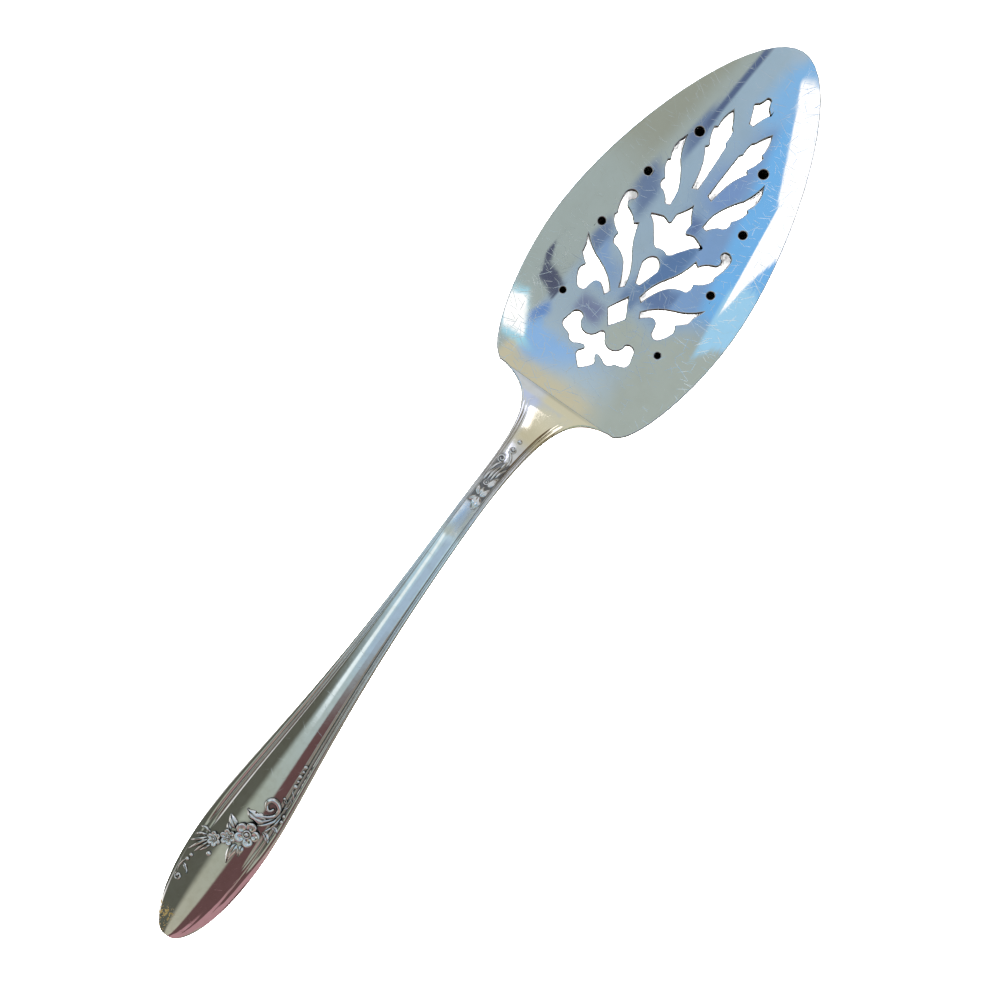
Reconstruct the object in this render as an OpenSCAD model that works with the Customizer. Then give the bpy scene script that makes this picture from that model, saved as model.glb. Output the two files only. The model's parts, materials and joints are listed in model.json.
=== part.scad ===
// Pie server: a pierced and cupped blade, a struck handle with reeded edges,
// and the brazed lap that joins them under the handle's flared foot.
// X runs along the server towards the blade's tip, Y is its width and Z is up.
// The origin is the middle of the footprint, on the table.

/* [Length] */
// Handle, from its end to the crease where the blade begins
handle_l = 153; // [135:0.5:175]
// Blade, from the crease to its tip
blade_l = 101; // [85:0.5:120]

/* [Blade] */
// Greatest width of the blade
blade_w = 52.4; // [44:0.2:60]
// Width across the two shoulder corners
shoulder_w = 36.2; // [32:0.2:40]
// Distance from the crease to the shoulder corners
shoulder_set = 1.2; // [0.6:0.1:2.5]
// Distance from the crease to the greatest width
belly_at = 35; // [28:0.5:42]
// Thickness of the sheet
sheet_t = 1.4; // [0.9:0.05:1.8]
// Radius to which each side of the blade is turned up
cup_r = 55; // [40:1:120]
// Width of the flat strip at the crease, which narrows to nothing at the tip
flat_w = 29; // [27:0.5:33]
// Diameter of the largest of the round holes, which shrink towards the crease
hole_d = 2.3; // [1.4:0.1:2.8]

/* [Handle outline] */
// Greatest width of the grip
grip_w = 17.5; // [15:0.1:22]
// Distance from the handle's end to the greatest width
grip_at = 26; // [20:0.5:34]
// Width of the blunt end
end_w = 2; // [1.4:0.1:4]
// Least width of the neck
neck_w = 5.6; // [4.8:0.1:7.5]
// Distance from the crease back to the least width
neck_back = 31; // [26:0.5:38]
// Width of the flared foot at the crease
foot_w = 31; // [26:0.2:32]

/* [Handle side view] */
// Height of the highest point of the handle above the table
crest_z = 18.2; // [15:0.1:24]
// Distance from the crease back to the highest point
crest_back = 40; // [34:0.5:48]
// Height of the underside of the handle's end above the table
end_lift = 12; // [6:0.5:14]
// Slope at which the handle comes down to its end, in degrees
end_dip = 6; // [2:0.5:9]
// Thickness at the end of the handle
end_t = 1.6; // [1.3:0.05:2.2]
// Thickness of the grip along its middle
grip_t = 2.1; // [1.8:0.05:3]
// Thickness of the neck
neck_t = 2.6; // [2.2:0.05:3.4]
// Thickness of the foot's thin front edge
foot_t = 0.4; // [0.3:0.05:0.7]

/* [Handle section] */
// Height of the crowned middle as a share of the half width
crown = 0.1; // [0.04:0.01:0.14]
// Depth of the grooves between the reeds along each edge
reed_d = 0.36; // [0.1:0.02:0.4]
// Distance from the handle's end at which the reeds begin
reed_start = 20; // [14:0.5:32]
// Distance from the crease at which the reeds end
reed_stop = 3; // [1:0.5:8]
// Length over which the reeds rise from the plain surface and die away in it
reed_rise = 14; // [8:0.5:20]
// Rounding of the outer corners
corner_r = 0.35; // [0.2:0.05:0.5]

/* [Brazed lap] */
// Length of the blade's tongue under the foot
lap_l = 5.5; // [4:0.1:6]
// Step from the foot's edge in to the tongue's edge
lap_inset = 0.6; // [0.4:0.05:1]
// Step from the tongue's edge in to the edge of the braze
braze_inset = 0.3; // [0.2:0.05:0.5]
// Thickness of the braze
braze_t = 0.1; // [0.06:0.01:0.2]

/* [Hidden] */

silver = [0.80, 0.81, 0.80];
braze_grey = [0.62, 0.62, 0.58];

overall_l = handle_l + blade_l;
end_x = -overall_l / 2;
crease_x = end_x + handle_l;
belly = blade_w / 2;
shoulder = shoulder_w / 2;
lap_z = sheet_t + braze_t;
// Height that clears the turned-up rim of the blade
rim_room = sheet_t + belly * belly / cup_r;
overcut = 1;

// Shares of the blade's sizes that shape its outline
heel_bend = 0.4;
shoulder_swell = 0.47;
shoulder_pull = 0.1;
belly_pull_back = 0.43;
belly_pull_front = 0.385;
tip_pull = 0.485;
// Share of the cup's radius past which the sheet turns up no further
cup_limit = 0.8;

// Shares of the handle's sizes that shape its outline
end_swell = 0.5;
end_round = 0.4;
shank_pull = 0.21;
neck_pull = 0.4;
foot_pull = 0.26;
foot_turn = 0.05;
foot_swell = 0.17;

// Shares of the handle's sizes that shape its side view
arch_rise = 0.28;
arch_level = 0.66;
ramp_level = 0.45;
ramp_run = 0.29;
ramp_lift = 0.045;

// Shares for the handle's section: width of the plain panel, fall of the rim, largest corner
panel = 0.62;
rim_fall = 1.3;
corner_limit = 0.3;
// Greatest depth of a groove as a share of the half width
groove_limit = 0.09;

// The piercing is drawn on a blade of this length and width
drawn_l = 101;
drawn_w = 52.4;
// Points on an arc, and on one that turns far round
arc_steps = 4;
round_steps = 9;
// Bulge from which an arc counts as turning far round
round_bulge = 0.4;

// Curves
function bez(p, t) = let (s = 1 - t)
    s * s * s * p[0] + 3 * s * s * t * p[1] + 3 * s * t * t * p[2] + t * t * t * p[3];
function bez_run(p, t) = let (s = 1 - t)
    3 * s * s * (p[1] - p[0]) + 6 * s * t * (p[2] - p[1]) + 3 * t * t * (p[3] - p[2]);
function curve(p, steps, first = 0) = [for (i = [first : steps]) bez(p, i / steps)];

// Parameter at which a curve that always gains X reaches x, by halving
function reach(p, x, low = 0, high = 1, left = 30) = let (mid = (low + high) / 2)
    left == 0 ? mid
    : bez(p, mid)[0] < x ? reach(p, x, mid, high, left - 1)
    : reach(p, x, low, mid, left - 1);

function ease(t) = let (u = min(1, max(0, t))) u * u * (3 - 2 * u);
function mix(a, b, t) = a + (b - a) * t;

// Points of the arc from p towards q, without q; a bulge above 0 swells to the left
function arc(p, q, bulge) = bulge == 0 ? [p] : let (
        steps = abs(bulge) < round_bulge ? arc_steps : round_steps,
        chord = q - p,
        turn = 4 * atan(bulge),
        r = norm(chord) / (2 * sin(turn / 2)),
        along = chord / norm(chord),
        left = [-along[1], along[0]])
    [for (i = [0 : steps - 1]) let (a = (i / steps - 0.5) * turn)
        (p + q) / 2 + along * r * sin(a) + left * r * (cos(a) - cos(turn / 2))];

// Closed outline from points given as [x, y, bulge to the next]
function outline(points) = [for (i = [0 : len(points) - 1])
    let (p = points[i], q = points[(i + 1) % len(points)])
    each arc([p[0], p[1]], [q[0], q[1]], p[2])];

// Closed outline, even about the X axis, from its left half given as [x, y, bulge to the next]
function even_outline(half) = let (
        last = len(half) - 1,
        left = concat([for (i = [0 : last - 1])
            each arc([half[i][0], half[i][1]], [half[i + 1][0], half[i + 1][1]], half[i][2])],
            [[half[last][0], half[last][1]]]),
        right = [for (i = [len(left) - 1 : -1 : 0]) if (left[i][1] > 0) [left[i][0], -left[i][1]]])
    concat(left, right);

// Blade outline, with X measured from the crease and the half at Y above 0
rear_edge = [
    [shoulder_set, shoulder],
    [shoulder_set + shoulder_pull * belly_at, mix(shoulder, belly, shoulder_swell)],
    [belly_at * (1 - belly_pull_back), belly],
    [belly_at, belly]];
front_edge = [
    [belly_at, belly],
    [mix(belly_at, blade_l, belly_pull_front), belly],
    [blade_l, belly * tip_pull],
    [blade_l, 0]];

// Handle outline, with X measured from the handle's end
end_edge = [
    [0, end_w / 2],
    [0, mix(end_w, grip_w, end_swell) / 2],
    [grip_at * end_round, grip_w / 2],
    [grip_at, grip_w / 2]];
neck_x = handle_l - neck_back;
shank_edge = [
    [grip_at, grip_w / 2],
    [mix(grip_at, neck_x, shank_pull), grip_w / 2],
    [mix(grip_at, neck_x, neck_pull), neck_w / 2],
    [neck_x, neck_w / 2]];
foot_edge = [
    [neck_x, neck_w / 2],
    [handle_l - neck_back * foot_pull, neck_w / 2],
    [handle_l - neck_back * foot_turn, mix(neck_w, foot_w, foot_swell) / 2],
    [handle_l, foot_w / 2]];
handle_edge = concat(curve(end_edge, 12), curve(shank_edge, 26, 1), curve(foot_edge, 24, 1));

// Line of the handle's top in side view, with X measured from the handle's end
crest_x = handle_l - crest_back;
foot_z = lap_z + foot_t;
end_z = end_lift + end_t / cos(end_dip);
end_pull = crest_x * arch_rise;
arch_line = [
    [0, end_z],
    [end_pull, end_z + end_pull * tan(end_dip)],
    [crest_x * arch_level, crest_z],
    [crest_x, crest_z]];
ramp_line = [
    [crest_x, crest_z],
    [crest_x + crest_back * ramp_level, crest_z],
    [handle_l - crest_back * ramp_run, foot_z + crest_back * ramp_lift],
    [handle_l, foot_z]];
function top_line(x) = x < crest_x ? arch_line : ramp_line;
function top_z(x) = let (line = top_line(x)) bez(line, reach(line, x))[1];
function top_slope(x) = let (line = top_line(x), run = bez_run(line, reach(line, x)))
    atan(run[1] / run[0]);

function thickness(x) = x < grip_at
    ? mix(end_t, grip_t, ease(x / grip_at))
    : mix(grip_t, neck_t, ease((x - grip_at) / (crest_x - grip_at)));
function under_z(x) = max(x > crest_x ? lap_z : 0, top_z(x) - thickness(x) / cos(top_slope(x)));

// The crown runs out where the neck flares into the foot
function run_out(x) = 1 - ease((x - crest_x) / (crest_back - lap_l / 2));

// Share of their full depth that the grooves have at x
function reeding(x) = ease((x - reed_start) / reed_rise)
    * ease((handle_l - reed_stop - x) / reed_rise);

// Top of the section from the edge to the middle: [share of the half width, share of the crown's
// fall, share of the groove's depth]
section_top = concat(
    [[0.94, rim_fall, 0.1], [0.87, 1.15, 0], [0.81, 1.15, 0.2], [0.775, 1.15, 1], [0.735, 1.1, 0.3],
     [0.69, 1.05, 0.3], [0.65, 1.05, 1]],
    [for (i = [4 : -1 : 0]) [panel * i / 4, pow(i / 4, 2), 0]]);

// One section across the handle, at x from its end, running round from the middle of the underside
function section_ring(x, w) = let (
        fall = crown * min(w, grip_w / 2) * run_out(x),
        groove = min(reed_d, groove_limit * w) * reeding(x),
        top = top_z(x),
        under = under_z(x),
        rim = top - rim_fall * fall,
        r = min(corner_r, (rim - under) * corner_limit),
        half = concat(
            [[0, under], [w - r, under], [w, under + r], [w, rim - r]],
            [for (s = section_top) [w * s[0], top - fall * s[1] - groove * s[2]]]),
        last = len(half) - 1)
    concat(
        [for (i = [0 : last]) [end_x + x, half[i][0], half[i][1]]],
        [for (i = [last - 1 : -1 : 1]) [end_x + x, -half[i][0], half[i][1]]]);

// Solid through a row of rings that all have the same count of points
module loft(rings) {
    count = len(rings[0]);
    points = [for (ring = rings) each ring];
    sides = [for (k = [0 : len(rings) - 2], i = [0 : count - 1]) let (
            a = k * count + i,
            b = k * count + (i + 1) % count)
        each [[a, a + count, b], [b, a + count, b + count]]];
    first_cap = [[for (i = [0 : count - 1]) i]];
    last_cap = [[for (i = [0 : -1 : 1 - count]) (len(rings) - 1) * count + (i + count) % count]];
    polyhedron(points, concat(sides, first_cap, last_cap));
}

// Half of the tongue's outline, from its square back end to the crease, stepped in by inset
lap_steps = 6;
lap_start = reach(foot_edge, handle_l - lap_l);
function tongue_edge(inset) = [for (i = [0 : lap_steps])
    let (p = bez(foot_edge, mix(lap_start, 1, i / lap_steps)))
    [p[0] - handle_l, p[1] - inset]];

module half_outline() {
    tongue = tongue_edge(lap_inset);
    polygon(concat(
        [[tongue[0][0], 0]],
        tongue,
        [[0, mix(foot_w / 2, shoulder, heel_bend)]],
        curve(rear_edge, 12),
        curve(front_edge, 18, 1)));
}

// Section of the sheet square to the line where it begins to turn up
module cup_section() {
    reach_out = min(belly, cup_r * cup_limit);
    translate([-blade_w, 0])
        square([blade_w, sheet_t]);
    intersection() {
        translate([0, sheet_t + cup_r])
            difference() {
                circle(cup_r + sheet_t, $fn = 240);
                circle(cup_r, $fn = 240);
            }
        square([reach_out, cup_r]);
    }
}

// The half of the cupped sheet at Y above 0, cut to the outline
cup_turn = atan2(flat_w / 2, blade_l);
module half_sheet() {
    intersection() {
        linear_extrude(height = rim_room)
            half_outline();
        translate([0, flat_w / 2, 0])
            rotate([90, 0, 90 - cup_turn])
                translate([0, 0, -blade_w])
                    linear_extrude(height = blade_l + 2 * blade_w)
                        cup_section();
    }
}

// Pierced ornament, drawn with X measured from the crease and fitted to the blade's size
function spot(p) = [p[0] * blade_l / drawn_l, p[1] * blade_w / drawn_w];
module opening(points) {
    polygon([for (p = points) spot(p)]);
}

module side_piercing() {
    // Inner feather
    opening(outline([[59.4, 2.7, -0.05], [66, 4.1, -0.06], [69.3, 5.95, 0], [70.1, 5.2, 0.1],
        [74.4, 6.9, 0], [74.9, 6.1, 0.16], [80.1, 5.5, 0.08], [76.6, 3.5, 0], [75.9, 2.8, 0.08],
        [72.7, 2.6, 0], [71.9, 2, 0], [59.9, 1.5, 0]]));
    // Outer feather
    opening(outline([[52.9, 5.9, -0.15], [55.2, 8, 0.6], [57.9, 9.3, 0.16], [61.7, 11.4, 0],
        [62.2, 10.8, 0.3], [68.7, 11, -0.065], [63.5, 9.2, 0.09], [57, 5.3, 0.05], [53.1, 4.8, 0]]));
    // Scrolled leaf
    opening(outline([[30.2, 3.2, -0.09], [35.8, 5.8, -0.2], [38.2, 10.4, 0.3], [40.8, 10.7, 0.22],
        [43.9, 14.1, 0], [44.7, 13.8, 0.12], [49.6, 14.95, 0.4], [51.15, 13.2, 0.5],
        [49.8, 12.3, 0.2], [49.2, 12.9, -0.6], [46.9, 12.3, 0.18], [44.5, 9.3, 0], [45.3, 8.3, -0.12],
        [38, 5.1, 0.13], [31, 2.3, 0]]));
    // Lower leaf
    opening(outline([[26.9, 5.1, -0.05], [28.5, 7, -0.48], [27.9, 9.2, -0.05], [25.6, 9.6, 0.45],
        [25, 11.5, 0.12], [28.4, 13.55, 0.2], [30.3, 12.75, 0.05], [32.3, 15.2, -0.05],
        [34.4, 15.6, 0], [36.4, 16.5, -0.12], [32.8, 10.8, 0.14], [28.2, 4.5, 0]]));
    // Round holes, each with its share of the greatest diameter
    for (p = [[22, 13.75, 0.66], [40.7, 15.7, 0.8], [56.7, 13.6, 0.85], [71.4, 9.15, 1]])
        translate(spot(p))
            circle(d = hole_d * p[2], $fn = 48);
}

module middle_piercing() {
    // Palmette
    opening(even_outline([[9.1, 0, 0.05], [11.4, 2.2, 0.3], [12.4, 2.3, -0.1], [13.7, 1.4, -0.6],
        [14.2, 2.6, -0.1], [13.3, 4.5, 0.3], [13.8, 6, 0.1], [14.6, 6.6, 0.1], [15.3, 8.9, 0.35],
        [17.3, 9.2, 0], [18.8, 8.85, 0.7], [19.6, 6.15, -0.9], [18.6, 0.9, 0.2], [19.5, 0]]));
    // Lozenge
    opening(even_outline([[21.3, 0, 0], [24.8, 2.45, 0], [29.4, 0]]));
    // Bud
    opening(even_outline([[33.3, 0.5, 0], [38.3, 2.05, 0.15], [40.2, 1.35, 0.15], [41, 0]]));
    // Lily
    opening(even_outline([[43.4, 0, -0.2], [42.9, 1.5, 0.2], [44.4, 3, 0], [47.3, 5.2, -0.1],
        [48.8, 7.4, 0.05], [50, 4.4, 0.1], [49.3, 2.5, -0.3], [50.6, 1.9, 0.05], [52.2, 2, -0.08],
        [55.8, 0]]));
    // Star
    opening(even_outline([[79.6, 0.5, -0.05], [82.3, 1.4, -0.12], [83.9, 2.35, 0.08],
        [84.8, 1.35, -0.1], [86.9, 0.5, 0.2], [87.1, 0]]));
}

module piercing() {
    translate([0, 0, -overcut])
        linear_extrude(height = rim_room + 2 * overcut) {
            middle_piercing();
            side_piercing();
            mirror([0, 1])
                side_piercing();
        }
}

module blade() {
    color(silver)
        translate([crease_x, 0, 0])
            difference() {
                union() {
                    half_sheet();
                    mirror([0, 1, 0])
                        half_sheet();
                }
                piercing();
            }
}

module handle() {
    color(silver)
        loft([for (p = handle_edge) section_ring(p[0], p[1])]);
}

module braze_seam() {
    edge = tongue_edge(lap_inset + braze_inset);
    color(braze_grey)
        translate([crease_x, 0, sheet_t])
            linear_extrude(height = braze_t)
                polygon(concat(edge, [for (i = [len(edge) - 1 : -1 : 0]) [edge[i][0], -edge[i][1]]]));
}

blade();
handle();
braze_seam();
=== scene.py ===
# %% [markdown]
# # A silver-plated pie server
# The server has a broad pierced blade, cupped a little at its sides, and a reeded handle that
# carries a spray of flowers near its end and a small sprig on its neck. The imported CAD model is
# the frame: it fixes every size, and the pieces below dress it.

import json
import math

import bpy
from mathutils import Matrix, Vector

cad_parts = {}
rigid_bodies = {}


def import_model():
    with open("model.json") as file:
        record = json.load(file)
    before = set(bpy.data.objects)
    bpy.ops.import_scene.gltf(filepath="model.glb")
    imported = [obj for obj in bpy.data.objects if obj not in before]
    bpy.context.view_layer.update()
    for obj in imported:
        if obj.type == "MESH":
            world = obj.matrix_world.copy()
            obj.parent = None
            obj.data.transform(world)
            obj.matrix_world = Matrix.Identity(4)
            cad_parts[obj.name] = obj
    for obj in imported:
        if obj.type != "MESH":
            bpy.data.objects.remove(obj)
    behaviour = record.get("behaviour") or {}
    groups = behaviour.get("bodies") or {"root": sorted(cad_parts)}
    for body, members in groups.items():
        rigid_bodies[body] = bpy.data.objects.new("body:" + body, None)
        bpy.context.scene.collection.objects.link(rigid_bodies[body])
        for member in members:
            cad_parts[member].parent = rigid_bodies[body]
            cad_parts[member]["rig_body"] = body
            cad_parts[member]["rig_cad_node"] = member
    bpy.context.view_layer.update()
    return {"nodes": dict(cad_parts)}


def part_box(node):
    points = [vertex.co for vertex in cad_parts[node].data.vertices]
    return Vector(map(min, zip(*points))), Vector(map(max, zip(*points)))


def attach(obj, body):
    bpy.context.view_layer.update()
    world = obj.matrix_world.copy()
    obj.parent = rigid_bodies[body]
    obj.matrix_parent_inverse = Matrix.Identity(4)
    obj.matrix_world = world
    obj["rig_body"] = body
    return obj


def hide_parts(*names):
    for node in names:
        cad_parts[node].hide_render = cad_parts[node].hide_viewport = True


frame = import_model()
blade_low, blade_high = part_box("blade")
_, handle_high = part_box("handle")
MM = 0.001
CREASE_X = handle_high.x
print("nodes", sorted(frame["nodes"]), "crease at", round(CREASE_X / MM, 2), "mm")

# %% [markdown]
# ## Working by hand in code
# Every operator acts on what is selected and active. These few helpers take the place of the
# clicks: they pick objects, step in and out of edit mode, and apply a modifier. A copied CAD
# node is loose triangles, so its doubles are merged before anything else is done to it.

# %% Helpers for objects and edit mode
MERGE = 0.002 * MM


def pick(*objects):
    """Selects only these objects and makes the first of them active."""
    if bpy.context.mode != "OBJECT":
        bpy.ops.object.mode_set(mode="OBJECT")
    bpy.ops.object.select_all(action="DESELECT")
    for each in objects:
        each.select_set(True)
    bpy.context.view_layer.objects.active = objects[0]


def edit(piece):
    """Steps into edit mode with the whole mesh selected."""
    pick(piece)
    bpy.ops.object.mode_set(mode="EDIT")
    bpy.ops.mesh.select_all(action="SELECT")


def leave_edit():
    """Steps back into object mode."""
    bpy.ops.object.mode_set(mode="OBJECT")


def finish_with(piece, kind, **settings):
    """Adds a modifier with these settings and applies it."""
    pick(piece)
    step = piece.modifiers.new(kind.lower(), kind)
    for name, value in settings.items():
        setattr(step, name, value)
    bpy.ops.object.modifier_apply(modifier=step.name)


# %% Helpers for the pieces
def copy_node(node, name):
    """A copy of a CAD node with its own mesh and its loose triangles merged."""
    source = frame["nodes"][node]
    piece = source.copy()
    piece.data = source.data.copy()
    piece.name = piece.data.name = name
    piece.parent = None
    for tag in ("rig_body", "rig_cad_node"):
        del piece[tag]
    bpy.context.scene.collection.objects.link(piece)
    edit(piece)
    bpy.ops.mesh.remove_doubles(threshold=MERGE)
    leave_edit()
    piece.data.materials.clear()
    print(name, "has", len(piece.data.polygons), "faces")
    return piece


def dress(piece, material):
    """Gives a finished piece its material and the body it rides on."""
    piece.data.materials.clear()
    piece.data.materials.append(material)
    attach(piece, "root")


# %% [markdown]
# ## The camera
# The server lies flat and is seen almost from above, from a little towards the blade's right
# hand side. The picture's upward direction lies on the table between the blade's tip and its
# left side. The camera is built from where it stands, what it looks at and that direction,
# because each of the three can then be set by itself.

# %% Place the camera
CAMERA_AT = Vector((0.77, -29.0, 309.4)) * MM
CAMERA_AIM = Vector((-1.43, -3.2, 0.0)) * MM
UP_TURN = math.radians(35.72)
SENSOR = 36.0
FOCAL_SHARE = 1.302
CLIP = (0.01, 50.0)

camera_data = bpy.data.cameras.new("camera")
camera = bpy.data.objects.new("camera", camera_data)
bpy.context.scene.collection.objects.link(camera)
camera_data.sensor_width = SENSOR
camera_data.lens = SENSOR * FOCAL_SHARE
camera_data.clip_start, camera_data.clip_end = CLIP
back = (CAMERA_AT - CAMERA_AIM).normalized()
right = Vector((math.cos(UP_TURN), math.sin(UP_TURN), 0.0)).cross(back).normalized()
up = back.cross(right)
outlook = Matrix((right, up, back)).transposed().to_4x4()
camera.matrix_world = Matrix.Translation(CAMERA_AT) @ outlook
bpy.context.scene.camera = camera
print("camera at", [round(v / MM, 1) for v in CAMERA_AT], "lens", round(camera_data.lens, 1))

# %% [markdown]
# ## Shader maths as Python
# A node tree is easier to read as an expression. A Wire holds one output socket. Adding or
# multiplying two of them adds the Math nodes, and `node` makes any other node.


# %% A socket that takes part in sums
class Wire:
    """One output socket of a node tree."""

    def __init__(self, tree, socket=None):
        self.tree = tree
        self.socket = socket

    def node(self, kind, inputs=None, output=0, stops=None, **settings):
        """Adds a node: its settings first, then a ramp's stops, then values or links."""
        made = self.tree.nodes.new(kind)
        for name, value in settings.items():
            setattr(made, name, value)
        if stops:
            band = made.color_ramp.elements
            while len(band) > 1:
                band.remove(band[-1])
            for count, (place, colour) in enumerate(stops):
                stop = band[0] if count == 0 else band.new(place)
                stop.position = place
                stop.color = colour
        for key, value in (inputs or {}).items():
            if isinstance(value, Wire):
                self.tree.links.new(value.socket, made.inputs[key])
            else:
                made.inputs[key].default_value = value
        return Wire(self.tree, made.outputs[output] if made.outputs else None)

    def math(self, operation, *values):
        return self.node("ShaderNodeMath", dict(enumerate(values)), operation=operation)

    def __add__(self, other):
        return self.math("ADD", self, other)

    __radd__ = __add__

    def __sub__(self, other):
        return self.math("SUBTRACT", self, other)

    def __rsub__(self, other):
        return self.math("SUBTRACT", other, self)

    def __mul__(self, other):
        return self.math("MULTIPLY", self, other)

    __rmul__ = __mul__

    def __truediv__(self, other):
        return self.math("DIVIDE", self, other)

    def __abs__(self):
        return self.math("ABSOLUTE", self)

    def most(self, other):
        """The greater of two values."""
        return self.math("MAXIMUM", self, other)

    def ramp(self, low, high, start=0.0, end=1.0):
        """Moves smoothly from start to end as the value goes from low to high."""
        inputs = {0: self, 1: low, 2: high, 3: start, 4: end}
        return self.node("ShaderNodeMapRange", inputs, interpolation_type="SMOOTHSTEP")

    def within(self, half, soft):
        """One where the value is nearer to nought than half, and nothing past a soft edge."""
        return abs(self).ramp(half - soft, half + soft, 1.0, 0.0)

    def blend(self, first, second):
        """The mix of two colours, with this value as the second one's share."""
        inputs = {0: self, 6: first, 7: second}
        return self.node("ShaderNodeMix", inputs, output=2, data_type="RGBA")

    def vector(self, operation, other):
        """Maths on all three parts of a vector at once."""
        return self.node("ShaderNodeVectorMath", {0: self, 1: other}, operation=operation)

    def part(self, index):
        """The x, y or z of a vector."""
        return self.node("ShaderNodeSeparateXYZ", {0: self}, output=index)


def tone(red, green, blue):
    """A colour given as it looks on screen, 0 to 255, turned into light by the screen's curve."""
    return tuple(((c / 255 + 0.055) / 1.055) ** 2.4 for c in (red, green, blue)) + (1.0,)


# %% [markdown]
# ## A light tent
# Polished silver shows its surroundings, so the colours of the server are the colours of the
# room. Lamps alone would leave it black between their highlights. The world is therefore a tent
# of soft cards, each given by its place in degrees from straight up, along the server and across
# it. Only reflections see the cards, and a little unevenness bends their edges, as a real room
# would.

# %% Hang the tent's plain cloth
TENT_SPAN = 180.0
WOBBLE_SCALE, WOBBLE_DETAIL = 22.0, 2.0
WOBBLE_ALONG, WOBBLE_ACROSS = 0.16, 0.6

world = bpy.data.worlds.new("light_tent")
bpy.context.scene.world = world
world.use_nodes = True
world.node_tree.nodes.clear()
# The tent is no lamp: its light is looked up only where a reflection meets it
world.cycles.sampling_method = "NONE"
tent = Wire(world.node_tree)
direction = tent.node("ShaderNodeTexCoord", output=0)
wobble = tent.node("ShaderNodeTexNoise", {
    "Vector": direction, "Scale": WOBBLE_SCALE, "Detail": WOBBLE_DETAIL}, output=1)
along = tent.math("ARCTAN2", direction.part(0), direction.part(2)) * math.degrees(1)
across = tent.math("ARCTAN2", direction.part(1), direction.part(2)) * math.degrees(1)
along = along + (wobble.part(0) - 0.5) * WOBBLE_ALONG
across = across + (wobble.part(1) - 0.5) * WOBBLE_ACROSS

# Each stop is a place along the server, in degrees, and the cloth's colour there
cloth_stops = [
    (-80, tone(120, 116, 110)), (-55, tone(150, 140, 130)), (-42, tone(212, 202, 182)),
    (-34, tone(172, 172, 156)), (-24, tone(160, 168, 156)), (-15, tone(172, 188, 190)),
    (-8, tone(178, 208, 224)), (0, tone(188, 212, 224)), (6, tone(170, 190, 204)),
    (8, tone(156, 176, 190)), (15, tone(152, 176, 196)), (21, tone(158, 182, 200)),
    (24, tone(184, 196, 210)), (32, tone(197, 202, 206)), (43, tone(200, 205, 208)),
    (50, tone(198, 205, 214)), (62, tone(202, 206, 210)), (75, tone(168, 168, 162))]
share = (along + TENT_SPAN / 2) / TENT_SPAN
colour = share.node("ShaderNodeValToRGB", {0: share}, stops=[
    ((place + TENT_SPAN / 2) / TENT_SPAN, shade) for place, shade in cloth_stops])
print("cloth with", len(cloth_stops), "colours")


# %% A card with soft edges
def hang_card(under, shade, middle, half, soft, lean=0.0, slant=0.0):
    """Lays a card over what hangs there. It shifts across by lean for each degree along, and
    along by slant for each degree across."""
    away = along - middle[0]
    aside = across - middle[1]
    near = (away - aside * slant).within(half[0], soft[0])
    return (near * (aside - away * lean).within(half[1], soft[1])).blend(under, shade)


# %% Hang the cards
OLIVE, MAROON, ROSE = tone(88, 90, 81), tone(98, 72, 72), tone(176, 134, 140)
SKY, PALE, MOSS = tone(118, 182, 238), tone(160, 210, 242), tone(166, 177, 172)
SLATE, DUSK, VIOLET = tone(106, 126, 160), tone(88, 104, 138), tone(116, 126, 160)
CYAN, INK = tone(160, 214, 234), tone(80, 86, 108)
WHITE, DAZZLE = (1.2, 1.2, 1.2, 1.0), (1.5, 1.55, 1.9, 1.0)

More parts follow.
